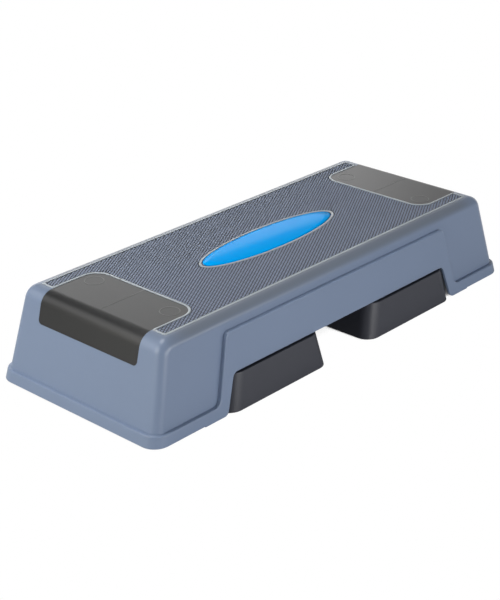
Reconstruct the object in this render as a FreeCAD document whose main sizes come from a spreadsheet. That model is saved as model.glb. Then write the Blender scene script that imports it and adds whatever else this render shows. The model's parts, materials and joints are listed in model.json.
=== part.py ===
import FreeCAD, Part
import math
import os
import re
import Sketcher

# Aerobic step platform with two legs that slide down to a raised setting.
# The origin is on the floor under the middle of the deck; X runs along the deck, -Y is the front.
# Heights in the sizes are above the floor unless their name or note says otherwise.

SIZES = {
    # Moulded body: plan size at the lower edge of the rim, height from that edge to the deck.
    "base_length": 890,
    "base_width": 360,
    "deck_height": 155,
    "rim_lift": 3.5,
    "rim_height": 20,
    "rim_step": 7,
    "rim_corner": 28,
    "rim_edge_round": 2.5,
    "wall_edge_round": 16,
    "wall": 4.5,
    "deck_plate": 6,
    "end_round": 25,
    "end_draft_share": 0.253,
    "side_draft_share": 0.109,
    # Raised panel on each long side, which gives the legs their room.
    "panel_margin": 19.5,
    "panel_height": 130,
    "panel_draft_share": 0.26,
    "panel_corner": 11,
    "panel_foot_round": 15,
    "panel_edge_round": 2,
    # Arch in each long side that the legs show through.
    "notch_side_gap": 1.5,
    "notch_height": 63,
    "notch_draft_share": 0.335,
    "notch_corner": 11,
    "notch_foot_round": 10,
    # Ribs under the deck.
    "rib_thickness": 3,
    "rib_depth": 24,
    "rib_pitch": 120,
    "rib_pitches_each_way": 3,
    "rib_row_inner": 45,
    "rib_row_outer": 125,
    # Soft pads over the ends of the deck.
    "pad_start": 285,
    "pad_width": 222,
    "pad_corner": 27,
    "pad_end_height": 107,
    "pad_end_corner": 7,
    "pad_thickness": 2.5,
    "pad_clearance": 0.2,
    "pad_peg_diameter": 10,
    "pad_peg_from_start": 29,
    "pad_peg_spread": 85,
    "peg_stand_out": 3,
    "peg_clearance": 0.15,
    # Oval plate in the deck.
    "badge_length": 314,
    "badge_width": 78,
    "badge_forward": 4,
    "badge_recess": 2,
    "badge_proud": 2,
    "badge_edge_round": 1.2,
    "badge_clearance": 0.3,
    "badge_peg_diameter": 6,
    "badge_peg_spread": 90,
    # Posts and rubber feet at the corners of the body.
    "post_diameter": 34,
    "post_from_end": 50,
    "post_from_side": 40,
    "web_thickness": 3,
    "foot_diameter": 30,
    "foot_spigot_diameter": 12,
    "foot_spigot_length": 14,
    "foot_edge_round": 1,
    "spigot_clearance": 0.1,
    # Guide stems that hang from the deck, with a washer and a screw at the end of each.
    "stem_diameter": 30,
    "stem_spread": 100,
    "stem_clear": 19.5,
    "washer_diameter": 38,
    "washer_thickness": 3,
    "stop_screw_diameter": 6,
    "stop_screw_depth": 20,
    "stop_head_diameter": 13,
    "stop_head_height": 4,
    "screw_clearance": 0.1,
    "hex_key_width": 5,
    # Legs, at their low setting: a skirt that fills the arch and a narrower core that slides inside the body.
    "leg_gap": 102,
    "leg_length": 236.5,
    "leg_lift": 2.5,
    "leg_proud": 3,
    "leg_draft_share": 0.24,
    "leg_corner": 24.5,
    "leg_step": 13,
    "leg_head_room": 2,
    "skirt_gap": 3,
    "leg_wall": 3.5,
    "leg_top_plate": 4,
    "leg_top_round": 1.5,
    "leg_travel": 50,
    "stop_clearance": 0.4,
    "slide_clearance": 0.5,
    "sleeve_wall": 4.5,
    "leg_post_diameter": 26,
    "leg_post_height": 25,
    "leg_post_inset": 19,
    "leg_foot_diameter": 18,
    "leg_foot_seat": 3,
    "leg_spigot_diameter": 8,
    "leg_spigot_length": 8,
    # Lock slides under the top plate of each leg, with their straps and screws.
    "lock_width": 24,
    "lock_thickness": 8,
    "lock_length": 50,
    "lock_travel": 8,
    "lock_setback": 1,
    "lock_clearance": 0.4,
    "lock_tab_length": 10,
    "lock_tab_height": 14,
    "lock_edge_round": 1.5,
    "keeper_width": 18,
    "keeper_cheek": 11,
    "keeper_plate": 4,
    "keeper_from_nose": 9,
    "keeper_screw_diameter": 4,
    "keeper_head_diameter": 8,
    "keeper_head_height": 3,
    "keeper_boss_diameter": 10,
    "keeper_boss_height": 7,
    "keeper_screw_tip_gap": 1,
    # One overrun serves all cuts.
    "overrun": 5,
}

doc = FreeCAD.newDocument("step_platform")
sheet = doc.addObject("Spreadsheet::Sheet", "Sizes")
for row, (alias, value) in enumerate(SIZES.items(), start=1):
    sheet.set(f"A{row}", alias)
    sheet.set(f"B{row}", str(value))
    sheet.setAlias(f"B{row}", alias)
doc.recompute()

# Heights and places that several pieces share, written in the sheet's sizes.
DECK_TOP = "(rim_lift + deck_height)"
DECK_UNDER = "(rim_lift + deck_height - deck_plate)"
RIM_TOP = "(rim_lift + rim_height)"
PANEL_TOP = "(rim_lift + panel_height)"
HALF_BASE_LENGTH = "(base_length / 2)"
HALF_BASE_WIDTH = "(base_width / 2)"
POST_X = "(base_length / 2 - post_from_end)"
POST_Y = "(base_width / 2 - post_from_side)"
PEG_X = "(pad_start + pad_peg_from_start)"
BADGE_Y = "(0 - badge_forward)"
BADGE_LOW = "(rim_lift + deck_height - badge_recess)"
LEG_X = "(leg_gap / 2 + leg_length / 2)"
LEG_TOP = "(rim_lift + deck_height - deck_plate - rib_depth - keeper_boss_height - leg_head_room)"
LEG_TOP_UNDER = f"({LEG_TOP} - leg_top_plate)"
LEG_HALF_WIDTH = "(base_width / 2 + leg_proud + side_draft_share * (rim_lift - leg_lift))"
SKIRT_TOP = "(rim_lift + notch_height - skirt_gap)"
NOTCH_HALF = "(leg_gap / 2 + leg_length + notch_side_gap)"
PANEL_HALF = "(leg_gap / 2 + leg_length + notch_side_gap + panel_margin)"
SLEEVE_RADIUS = "(stem_diameter / 2 + slide_clearance + sleeve_wall)"
SLEEVE_LOW = "(stem_clear + leg_travel + stop_clearance)"
LOCK_ROOM = "(lock_thickness + 2 * lock_clearance)"
LOCK_CHANNEL = "(lock_width + 2 * lock_clearance)"
LOCK_NOSE = "(stem_spread - stem_diameter / 2 - lock_setback)"
KEEPER_Y = "(stem_spread - stem_diameter / 2 - lock_setback - keeper_from_nose - keeper_width / 2)"
KEEPER_LOW = f"({LEG_TOP_UNDER} - {LOCK_ROOM} - keeper_plate)"
KEEPER_SCREW_X = f"({LOCK_CHANNEL} / 2 + keeper_cheek / 2)"

SIDES = {"left": -1, "right": 1}
ROWS = {"front": -1, "rear": 1}


def bound(text):
    """Writes a sum of sizes as an expression on the sheet."""
    return re.sub(r"[a-z_]+", lambda word: "Sizes." + word[0] if word[0] in SIZES else word[0], text)


def size(text):
    """The present value of a sum of sizes."""
    return float(sheet.evalExpression(bound(text)))


def bind(thing, **places):
    """Binds properties of a document object to sums of sizes."""
    for name, text in places.items():
        thing.setExpression(name.replace("__", "."), bound(text))


def place(thing, x="0", y="0", z="0"):
    bind(thing, Placement__Base__x=x, Placement__Base__y=y, Placement__Base__z=z)
    return thing


def cylinder(name, diameter, height, x, y, z):
    """Upright round bar whose lower face is centred at x, y, z."""
    bar = doc.addObject("Part::Cylinder", name)
    bind(bar, Radius=f"{diameter} / 2", Height=height)
    return place(bar, x, y, z)


def block(name, length, width, height, x, y, z):
    """Box whose lower face is centred at x, y, z."""
    box = doc.addObject("Part::Box", name)
    bind(box, Length=length, Width=width, Height=height)
    return place(box, f"{x} - {length} / 2", f"{y} - {width} / 2", z)


def fuse(name, pieces):
    joined = doc.addObject("Part::MultiFuse", name)
    joined.Shapes = pieces
    joined.Refine = True
    return joined


def common(name, pieces):
    shared = doc.addObject("Part::MultiCommon", name)
    shared.Shapes = pieces
    return shared


def cut(name, base, tool):
    left = doc.addObject("Part::Cut", name)
    left.Base = base
    left.Tool = tool
    left.Refine = True
    return left


def new_body(name):
    return doc.addObject("PartDesign::Body", name)


def new_sketch(body, name, plane_role):
    """Sketch on one of the body's own origin planes."""
    sketch = body.newObject("Sketcher::SketchObject", name)
    plane = next(item for item in body.Origin.OriginFeatures if item.Role == plane_role)
    sketch.AttachmentSupport = [(plane, "")]
    sketch.MapMode = "FlatFace"
    return sketch


def pin(sketch, kind, text, *places):
    """Adds a dimension whose value is a sum of sizes."""
    index = sketch.addConstraint(Sketcher.Constraint(kind, *places, size(text)))
    sketch.setExpression(f"Constraints[{index}]", bound(text))


def corner_arc(sketch, corner, before, after, radius):
    """Arc of the given radius that touches the two sides of a corner, with its two ends."""
    to_before = (before - corner).normalize()
    to_after = (after - corner).normalize()
    half_angle = to_before.getAngle(to_after) / 2
    reach = radius / math.tan(half_angle)
    start = corner + to_before * reach
    end = corner + to_after * reach
    middle = corner + (to_before + to_after).normalize() * (radius / math.sin(half_angle))
    turns_left = to_before.cross(to_after).z < 0
    first, last = (start, end) if turns_left else (end, start)
    first_angle = math.atan2(first.y - middle.y, first.x - middle.x)
    last_angle = math.atan2(last.y - middle.y, last.x - middle.x)
    circle = Part.Circle(middle, FreeCAD.Vector(0, 0, 1), radius)
    arc = sketch.addGeometry(Part.ArcOfCircle(circle, first_angle, last_angle))
    return arc, start, end, turns_left


def outline(sketch, corners):
    """Closed outline through corners of x, y and radius; a radius of None leaves a corner sharp."""
    spots = [FreeCAD.Vector(size(x), size(y), 0) for x, y, radius in corners]
    count = len(corners)
    points = []
    for spot, (x, y, radius) in zip(spots, corners):
        point = sketch.addGeometry(Part.Point(spot), True)
        pin(sketch, "DistanceX", x, -1, 1, point, 1)
        pin(sketch, "DistanceY", y, -1, 1, point, 1)
        points.append(point)
    bends = []
    for index, (x, y, radius) in enumerate(corners):
        if radius is None:
            bends.append((None, spots[index], spots[index], True))
        else:
            before, after = spots[index - 1], spots[(index + 1) % count]
            bends.append(corner_arc(sketch, spots[index], before, after, size(radius)))
    lines = []
    for index in range(count):
        following = (index + 1) % count
        segment = Part.LineSegment(bends[index][2], bends[following][1])
        lines.append(sketch.addGeometry(segment))
    for index, (x, y, radius) in enumerate(corners):
        line_in, line_out, point = lines[index - 1], lines[index], points[index]
        arc, start, end, turns_left = bends[index]
        if arc is None:
            sketch.addConstraint(Sketcher.Constraint("Coincident", line_in, 2, point, 1))
            sketch.addConstraint(Sketcher.Constraint("Coincident", line_out, 1, point, 1))
            continue
        arc_start, arc_end = (1, 2) if turns_left else (2, 1)
        sketch.addConstraint(Sketcher.Constraint("PointOnObject", point, 1, line_in))
        sketch.addConstraint(Sketcher.Constraint("PointOnObject", point, 1, line_out))
        sketch.addConstraint(Sketcher.Constraint("Tangent", line_in, 2, arc, arc_start))
        sketch.addConstraint(Sketcher.Constraint("Tangent", arc, arc_end, line_out, 1))
        pin(sketch, "Radius", radius, arc)


def frustum(name, low, high, corner=None, shoulder=None):
    """Block between two rectangles of height, half length and half width; its edges may be rounded."""
    (low_z, low_x, low_y), (high_z, high_x, high_y) = low, high
    front_view = [(f"-1 * ({low_x})", low_z, None), (low_x, low_z, None),
                  (high_x, high_z, shoulder), (f"-1 * ({high_x})", high_z, shoulder)]
    body = prism(name, "XZ_Plane", front_view, f"2 * ({low_y})")
    waste = new_sketch(body, f"{name}_waste", "YZ_Plane")
    for sign in (-1, 1):
        beyond = f"{sign} * ({low_y} + overrun)"
        outline(waste, [(f"{sign} * ({low_y})", low_z, None), (beyond, low_z, None),
                        (beyond, high_z, None), (f"{sign} * ({high_y})", high_z, None)])
    pocket = body.newObject("PartDesign::Pocket", f"{name}_taper")
    pocket.Profile = waste
    pocket.Type = "ThroughAll"
    pocket.SideType = "Symmetric"
    doc.recompute()
    if corner:
        tall = pocket.Shape.BoundBox.ZLength
        upright = [f"Edge{number}" for number, edge in enumerate(pocket.Shape.Edges, start=1)
                   if edge.BoundBox.ZLength > tall / 2]
        round_edges(body, "corners", upright, corner)
    return body


def round_edges(body, name, places, radius):
    """Rounds the named edges, or the edges of the named faces, of a body's last feature."""
    base = body.Tip
    fillet = body.newObject("PartDesign::Fillet", f"{body.Name}_{name}")
    fillet.Base = (base, places)
    bind(fillet, Radius=radius)
    doc.recompute()
    return body


def level_faces(shape, top=True, bottom=False):
    """Names of the highest and lowest flat faces of a shape."""
    heights = [face.CenterOfMass.z if face.BoundBox.ZLength < size("overrun") / 100 else None
               for face in shape.Faces]
    flat = [height for height in heights if height is not None]
    wanted = [max(flat)] * top + [min(flat)] * bottom
    return [f"Face{index}" for index, height in enumerate(heights, start=1) if height in wanted]


def round_level_edges(body, radius, top=True, bottom=False):
    """Rounds the edges round a body's top face, its bottom face or both."""
    return round_edges(body, "round", level_faces(body.Tip.Shape, top, bottom), radius)


def prism(name, plane_role, corners, length):
    """Straight bar with an outline as its section, centred on the plane of that outline."""
    body = new_body(name)
    sketch = new_sketch(body, f"{name}_outline", plane_role)
    outline(sketch, corners)
    pad = body.newObject("PartDesign::Pad", f"{name}_pad")
    pad.Profile = sketch
    pad.SideType = "Symmetric"
    bind(pad, Length=length)
    doc.recompute()
    return body


def wall_form(name, inset, drop):
    """Tapered form of the body's wall, set in from its outer face, with round corners and ends."""
    half_x = f"({HALF_BASE_LENGTH} - rim_step - {inset})"
    half_y = f"({HALF_BASE_WIDTH} - rim_step - {inset})"
    rise = f"(deck_height - {drop})"
    low = ("rim_lift", half_x, half_y)
    high = (f"rim_lift + {rise}", f"{half_x} - end_draft_share * {rise}",
            f"{half_y} - side_draft_share * {rise}")
    return frustum(name, low, high, f"wall_edge_round - {inset}", f"end_round - {inset}")


def rim_form(name, inset, rise):
    """Tapered form of the rim, set in from its outer face."""
    half_x = f"({HALF_BASE_LENGTH} - {inset})"
    half_y = f"({HALF_BASE_WIDTH} - {inset})"
    low = ("rim_lift", half_x, half_y)
    high = (f"rim_lift + {rise}", f"{half_x} - end_draft_share * {rise}",
            f"{half_y} - side_draft_share * {rise}")
    return frustum(name, low, high, f"rim_corner - {inset}")


def panel_form(name, inset):
    """Raised panels of both long sides as one block, set in from their outer faces."""
    wide = f"({PANEL_HALF} + 2 * panel_foot_round)"
    foot = f"({PANEL_HALF} - panel_draft_share * rim_height - {inset})"
    head = f"({PANEL_HALF} - panel_draft_share * panel_height - {inset})"
    ledge = f"({RIM_TOP} - {inset})"
    top = f"({PANEL_TOP} - {inset})"
    right = [(wide, "rim_lift", None), (wide, ledge, None),
             (foot, ledge, f"panel_foot_round + {inset}"), (head, top, f"panel_corner - {inset}")]
    left = [(f"-1 * {x}", z, radius) for x, z, radius in reversed(right)]
    front_view = prism(f"{name}_front_view", "XZ_Plane", right + left, "base_width")
    half_y = f"({HALF_BASE_WIDTH} - {inset})"
    taper = frustum(
        f"{name}_taper",
        ("rim_lift", HALF_BASE_LENGTH, half_y),
        (PANEL_TOP, HALF_BASE_LENGTH, f"{half_y} - side_draft_share * panel_height"),
    )
    return common(name, [front_view, taper])


def panel_edges(shape):
    """Numbers of the edges round the outer faces of the raised panels, above the rim's ledge."""
    numbers = []
    slack = size("panel_edge_round / 10")
    face_y, foot_z, lean = size(HALF_BASE_WIDTH), size("rim_lift"), size("side_draft_share")
    for number, edge in enumerate(shape.Edges, start=1):
        spots = [vertex.Point for vertex in edge.Vertexes] + [edge.CenterOfMass]
        depths = [face_y - lean * (spot.z - foot_z) - abs(spot.y) for spot in spots]
        on_face = all(abs(depth) < slack for depth in depths)
        if on_face and edge.CenterOfMass.z > size(f"{RIM_TOP} + overrun / 10"):
            numbers.append(number)
    return numbers


def rounded_panel():
    plain = panel_form("panel_block", "0 * wall")
    doc.recompute()
    panel = doc.addObject("Part::Fillet", "panel_rounded")
    panel.Base = plain
    radius = size("panel_edge_round")
    panel.Edges = [(number, radius, radius) for number in panel_edges(plain.Shape)]
    return panel


def notch_form():
    """Arch outline of both long sides, right through the body."""
    wide = f"({NOTCH_HALF} + 2 * notch_foot_round)"
    head = f"({NOTCH_HALF} - notch_draft_share * notch_height)"
    right = [(wide, "rim_lift - overrun", None), (wide, "rim_lift", None),
             (NOTCH_HALF, "rim_lift", "notch_foot_round"), (head, "rim_lift + notch_height", "notch_corner")]
    left = [(f"-1 * ({x})", z, radius) for x, z, radius in reversed(right)]
    return prism("notch", "XZ_Plane", right + left, "base_width + 2 * overrun")


def pad_form(name, side, clearance, skin):
    """Part of the body's outer skin that a soft pad takes up at one end."""
    half_width = f"(pad_width / 2 + {clearance})"
    start = f"(pad_start - {clearance})"
    far = HALF_BASE_LENGTH
    corner = f"pad_corner + {clearance}"
    near_to_far = [(start, f"-1 * {half_width}", corner), (far, f"-1 * {half_width}", None),
                   (far, half_width, None), (start, half_width, corner)]
    if side < 0:
        near_to_far = [(f"-1 * {x}", y, radius) for x, y, radius in reversed(near_to_far)]
    plan = prism(f"{name}_plan", "XY_Plane", near_to_far, "3 * deck_height")
    low = f"(rim_lift + pad_end_height - {clearance})"
    high = f"({DECK_TOP} + overrun)"
    end_view = [(f"-1 * {half_width}", low, "pad_end_corner"), (half_width, low, "pad_end_corner"),
                (half_width, high, None), (f"-1 * {half_width}", high, None)]
    end = prism(f"{name}_end_view", "YZ_Plane", end_view, "base_length")
    return common(name, [skin, plan, end])


def pad_pegs(name, side, diameter, low, height):
    """Round bars at the two peg places of one pad."""
    x = f"{side} * {PEG_X}"
    return [cylinder(f"{name}_{row}", diameter, height, x, f"{sign} * pad_peg_spread", low)
            for row, sign in ROWS.items()]


def oval(name, clearance, low, height):
    """Upright bar of the badge's oval section."""
    ring = doc.addObject("Part::Ellipse", f"{name}_ring")
    bind(ring, MajorRadius=f"badge_length / 2 + {clearance}", MinorRadius=f"badge_width / 2 + {clearance}")
    place(ring, y=BADGE_Y, z=low)
    bar = doc.addObject("Part::Extrusion", name)
    bar.Base = ring
    bar.DirMode = "Custom"
    bar.Dir = FreeCAD.Vector(0, 0, 1)
    bar.Solid = True
    bind(bar, LengthFwd=height)
    return bar


def badge_pegs(name, diameter, low, height):
    return [cylinder(f"{name}_{side}", diameter, height, f"{sign} * badge_peg_spread", BADGE_Y, low)
            for side, sign in SIDES.items()]


def ribs():
    """Crossed ribs that hang from the deck."""
    low = f"({DECK_UNDER} - rib_depth)"
    tall = "(rib_depth + deck_plate / 2)"
    bars = []
    count = SIZES["rib_pitches_each_way"]
    for step in range(-count, count + 1):
        x = f"{step} * rib_pitch"
        bars.append(block(f"rib_across_{step + count}", "rib_thickness", "base_width", tall, x, "0", low))
    for row, sign in ROWS.items():
        for reach in ("rib_row_inner", "rib_row_outer"):
            y = f"{sign} * {reach}"
            bars.append(block(f"{reach}_{row}", "base_length", "rib_thickness", tall, "0", y, low))
    return bars


def corner_post(side, sign, tag):
    """Post for a rubber foot, with a web to the end wall and one to the long wall."""
    x, y = f"{side} * {POST_X}", f"{sign} * {POST_Y}"
    tall = f"({DECK_UNDER} - rim_lift + deck_plate / 2)"
    web_tall = f"({DECK_UNDER} - {RIM_TOP} + deck_plate / 2)"
    post = cylinder(f"post_{tag}", "post_diameter", tall, x, y, "rim_lift")
    end_web = block(f"end_web_{tag}", "post_from_end", "web_thickness", web_tall,
                    f"{side} * ({POST_X} + post_from_end / 2)", y, RIM_TOP)
    side_web = block(f"side_web_{tag}", "web_thickness", "post_from_side", web_tall,
                     x, f"{sign} * ({POST_Y} + post_from_side / 2)", RIM_TOP)
    return [post, end_web, side_web]


def guide_stem(side, sign, tag):
    x, y = f"{side} * {LEG_X}", f"{sign} * stem_spread"
    tall = f"{DECK_UNDER} + deck_plate / 2 - stem_clear"
    return cylinder(f"stem_{tag}", "stem_diameter", tall, x, y, "stem_clear")


def stem_cuts(side, sign, tag):
    """Screw hole in the stem's end and the two notches that the lock slide enters."""
    x, y = f"{side} * {LEG_X}", f"{sign} * stem_spread"
    hole = cylinder(f"stem_hole_{tag}", "(stop_screw_diameter + 2 * screw_clearance)",
                    "stop_screw_depth + screw_clearance", x, y, "stem_clear")
    depth = "(lock_travel - lock_setback + lock_clearance + overrun)"
    centre = f"{sign} * (stem_spread - stem_diameter / 2 - overrun + {depth} / 2)"
    notches = []
    for setting, drop in (("low", "0 * leg_travel"), ("raised", "leg_travel")):
        floor = f"({LEG_TOP_UNDER} - {LOCK_ROOM} - {drop})"
        name = f"stem_notch_{setting}_{tag}"
        notches.append(block(name, "(stem_diameter + 2 * overrun)", depth, LOCK_ROOM, x, centre, floor))
    return [hole] + notches


def each_corner():
    """Side and row signs with the name of each corner."""
    for side_name, side in SIDES.items():
        for row_name, sign in ROWS.items():
            yield side, sign, f"{side_name}_{row_name}"


def platform(outer, pad_seats):
    """Moulded body: skin, then what hangs inside it, then every recess and hole."""
    cavity = [wall_form("wall_cavity", "wall", "deck_plate"),
              rim_form("rim_cavity", "wall", "(rim_height - wall)"),
              panel_form("panel_cavity", "wall"), notch_form()]
    rim = round_level_edges(rim_form("rim", "0 * wall", "rim_height"), "rim_edge_round", bottom=True)
    skin = cut("skin", fuse("skin_outer", [outer, rim, rounded_panel()]), fuse("skin_cavity", cavity))
    hangers = ribs()
    holes = list(pad_seats)
    through = "(deck_plate + peg_stand_out + 2 * overrun)"
    hole_low = f"({DECK_UNDER} - overrun)"
    for side_name, side in SIDES.items():
        holes += pad_pegs(f"pad_hole_{side_name}", side, "(pad_peg_diameter + 2 * peg_clearance)",
                          hole_low, through)
    holes.append(oval("badge_seat", "badge_clearance", BADGE_LOW, "badge_recess + overrun"))
    holes += badge_pegs("badge_hole", "(badge_peg_diameter + 2 * peg_clearance)", hole_low, through)
    for side, sign, tag in each_corner():
        hangers += corner_post(side, sign, tag)
        hangers.append(guide_stem(side, sign, tag))
        holes += stem_cuts(side, sign, tag)
        holes.append(cylinder(f"post_bore_{tag}", "(foot_spigot_diameter + 2 * spigot_clearance)",
                              "foot_spigot_length + spigot_clearance",
                              f"{side} * {POST_X}", f"{sign} * {POST_Y}", "rim_lift"))
    inside = common("inside", [fuse("hangers", hangers), outer])
    return cut("platform_shell", fuse("skin_and_inside", [skin, inside]), fuse("holes", holes))


def end_pad(side_name, side, skin):
    sheet_part = pad_form(f"pad_skin_{side_name}", side, "0 * pad_clearance", skin)
    low = f"({DECK_UNDER} - peg_stand_out)"
    tall = "(deck_plate + peg_stand_out - pad_thickness / 2)"
    pegs = pad_pegs(f"pad_peg_{side_name}", side, "pad_peg_diameter", low, tall)
    return fuse(f"end_pad_{side_name}", [sheet_part] + pegs)


def badge_plate():
    plain = oval("badge_oval", "0 * badge_clearance", BADGE_LOW, "badge_recess + badge_proud")
    doc.recompute()
    rounded = doc.addObject("Part::Fillet", "badge_rounded")
    rounded.Base = plain
    top = max(range(len(plain.Shape.Edges)), key=lambda index: plain.Shape.Edges[index].CenterOfMass.z)
    radius = size("badge_edge_round")
    rounded.Edges = [(top + 1, radius, radius)]
    tall = "(deck_plate + peg_stand_out - badge_recess / 2)"
    pegs = badge_pegs("badge_peg", "badge_peg_diameter", f"({DECK_UNDER} - peg_stand_out)", tall)
    return fuse("badge_plate", [rounded] + pegs)


def turned(name, steps, edge_round=None):
    """Stack of round steps of diameter and height, from the bottom up, as one turned body."""
    body = new_body(name)
    sketch = new_sketch(body, f"{name}_profile", "XZ_Plane")
    level = "0 * overrun"
    profile = [("0 * overrun", level, None)]
    for index, (diameter, height) in enumerate(steps):
        first_round = edge_round if index == 0 else None
        profile.append((f"{diameter} / 2", level, first_round))
        level = f"({level} + {height})"
        profile.append((f"{diameter} / 2", level, None))
    profile.append(("0 * overrun", level, None))
    outline(sketch, profile)
    revolution = body.newObject("PartDesign::Revolution", f"{name}_turn")
    revolution.Profile = sketch
    revolution.ReferenceAxis = (sketch, ["V_Axis"])
    doc.recompute()
    return body


def platform_foot(tag, side, sign):
    steps = [("foot_diameter", "rim_lift"), ("foot_spigot_diameter", "foot_spigot_length")]
    foot = turned(f"platform_foot_{tag}", steps, "foot_edge_round")
    return place(foot, f"{side} * {POST_X}", f"{sign} * {POST_Y}")


def stop_washer(tag, side, sign):
    x, y, z = f"{side} * {LEG_X}", f"{sign} * stem_spread", "stem_clear - washer_thickness"
    disc = cylinder(f"washer_disc_{tag}", "washer_diameter", "washer_thickness", x, y, z)
    hole = cylinder(f"washer_hole_{tag}", "(stop_screw_diameter + 2 * screw_clearance)",
                    "washer_thickness + 2 * overrun", x, y, f"{z} - overrun")
    return cut(f"stop_washer_{tag}", disc, hole)


def hex_socket(name, depth, x, y, z):
    """Six sided hole for a key, as a cutting bar."""
    bar = doc.addObject("Part::Prism", name)
    bar.Polygon = 6
    bind(bar, Circumradius="hex_key_width / sqrt(3)", Height=depth)
    return place(bar, x, y, z)


def stop_screw(tag, side, sign):
    low = "(stem_clear - washer_thickness - stop_head_height)"
    steps = [("stop_head_diameter", "stop_head_height"),
             ("stop_screw_diameter", "washer_thickness + stop_screw_depth")]
    x, y = f"{side} * {LEG_X}", f"{sign} * stem_spread"
    blank = place(turned(f"stop_screw_blank_{tag}", steps), x, y, low)
    socket = hex_socket(f"stop_socket_{tag}", "overrun + stop_head_height / 2", x, y, f"{low} - overrun")
    return cut(f"stop_screw_{tag}", blank, socket)


def leg_foot_places():
    """Sign pairs and names of the four corners of a leg box; inner is the end towards the middle."""
    for end_name, end in (("inner", -1), ("outer", 1)):
        for row_name, sign in ROWS.items():
            yield end, sign, f"{end_name}_{row_name}"


def leg_foot_spot(side, end, sign):
    x = f"({side} * ({LEG_X} + {end} * (leg_length / 2 - leg_post_inset)))"
    y = f"({sign} * ({LEG_HALF_WIDTH} - leg_post_inset))"
    return x, y


def leg_form(name, side, inset, top):
    """Tapered block of a leg from its lower edge to a height, set in from the outer faces of the skirt."""
    half_x = f"(leg_length / 2 - {inset})"
    half_y = f"({LEG_HALF_WIDTH} - {inset})"
    rise = f"({top} - leg_lift)"
    low = ("leg_lift", half_x, half_y)
    high = (top, f"{half_x} - leg_draft_share * {rise}", f"{half_y} - side_draft_share * {rise}")
    return place(frustum(name, low, high, f"leg_corner - {inset}"), f"{side} * {LEG_X}")


def leg_sleeve(tag, x, row_name, sign):
    """Sleeve that runs on a stem of the platform, with its bore and the window for the lock slide."""
    y = f"{sign} * stem_spread"
    tall = f"{LEG_TOP_UNDER} - {SLEEVE_LOW} + leg_top_plate / 2"
    sleeve = cylinder(f"{tag}_sleeve_{row_name}", f"(2 * {SLEEVE_RADIUS})", tall, x, y, SLEEVE_LOW)
    bore = cylinder(f"{tag}_bore_{row_name}", "(stem_diameter + 2 * slide_clearance)",
                    f"{LEG_TOP} + overrun", x, y, "leg_lift")
    width = f"({SLEEVE_RADIUS} + slide_clearance)"
    window_y = f"{sign} * (stem_spread - {width} / 2)"
    window = block(f"{tag}_window_{row_name}", LOCK_CHANNEL, width, LOCK_ROOM, x, window_y,
                   f"{LEG_TOP_UNDER} - {LOCK_ROOM}")
    return sleeve, [bore, window]


def keeper_bosses(tag, x, row_name, sign):
    """Bosses on the leg's top for the screws of one strap, with their holes."""
    bosses, holes = [], []
    y = f"{sign} * {KEEPER_Y}"
    for step in (-1, 1):
        screw_x = f"({x} + {step} * {KEEPER_SCREW_X})"
        name = f"{tag}_boss_{row_name}_{step + 1}"
        bosses.append(cylinder(name, "keeper_boss_diameter", "keeper_boss_height + leg_top_plate / 2",
                               screw_x, y, f"{LEG_TOP} - leg_top_plate / 2"))
        holes.append(cylinder(f"{name}_hole", "(keeper_screw_diameter + 2 * screw_clearance)",
                              "leg_top_plate + keeper_boss_height - keeper_screw_tip_gap",
                              screw_x, y, LEG_TOP_UNDER))
    return bosses, holes


def leg_post(tag, x, y, corner):
    """Post for a rubber foot in a corner of the leg, with the seat and the spigot hole of the foot."""
    post = cylinder(f"{tag}_post_{corner}", "leg_post_diameter", "leg_post_height", x, y, "leg_lift")
    seat = cylinder(f"{tag}_seat_{corner}", "(leg_foot_diameter + 2 * spigot_clearance)", "leg_foot_seat",
                    x, y, "leg_lift")
    spigot = cylinder(f"{tag}_spigot_{corner}", "(leg_spigot_diameter + 2 * spigot_clearance)",
                      "leg_foot_seat + leg_spigot_length + spigot_clearance", x, y, "leg_lift")
    return post, [seat, spigot]


def leg_box(side_name, side):
    """Hollow stepped leg, mouth down: the skirt, and the core with the sleeves."""
    tag = f"leg_{side_name}"
    x = f"{side} * {LEG_X}"
    skirt = round_level_edges(leg_form(f"{tag}_skirt", side, "0 * leg_wall", SKIRT_TOP), "leg_top_round")
    core = round_level_edges(leg_form(f"{tag}_core", side, "leg_step", LEG_TOP), "leg_top_round")
    skirt_room = leg_form(f"{tag}_skirt_room", side, "leg_wall", f"({SKIRT_TOP} - leg_wall)")
    core_room = leg_form(f"{tag}_core_room", side, "(leg_step + leg_wall)", LEG_TOP_UNDER)
    outer = fuse(f"{tag}_outer", [skirt, core])
    inner_bars, bosses, holes = [], [], []
    for row_name, sign in ROWS.items():
        sleeve, sleeve_holes = leg_sleeve(tag, x, row_name, sign)
        row_bosses, boss_holes = keeper_bosses(tag, x, row_name, sign)
        inner_bars.append(sleeve)
        bosses += row_bosses
        holes += sleeve_holes + boss_holes
    for end, sign, corner in leg_foot_places():
        foot_x, foot_y = leg_foot_spot(side, end, sign)
        post, foot_holes = leg_post(tag, foot_x, foot_y, corner)
        inner_bars.append(post)
        holes += foot_holes
    hollow = cut(f"{tag}_hollow", outer, fuse(f"{tag}_room", [skirt_room, core_room]))
    inside = common(f"{tag}_inside", [fuse(f"{tag}_inner_bars", inner_bars), outer])
    whole = fuse(f"{tag}_whole", [hollow, inside] + bosses)
    return cut(tag, whole, fuse(f"{tag}_holes", holes))


def leg_foot(side_name, side, end, sign, corner):
    steps = [("leg_foot_diameter", "(leg_lift + leg_foot_seat)"),
             ("leg_spigot_diameter", "leg_spigot_length")]
    x, y = leg_foot_spot(side, end, sign)
    return place(turned(f"leg_foot_{side_name}_{corner}", steps, "leg_lift / 2"), x, y)


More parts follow.
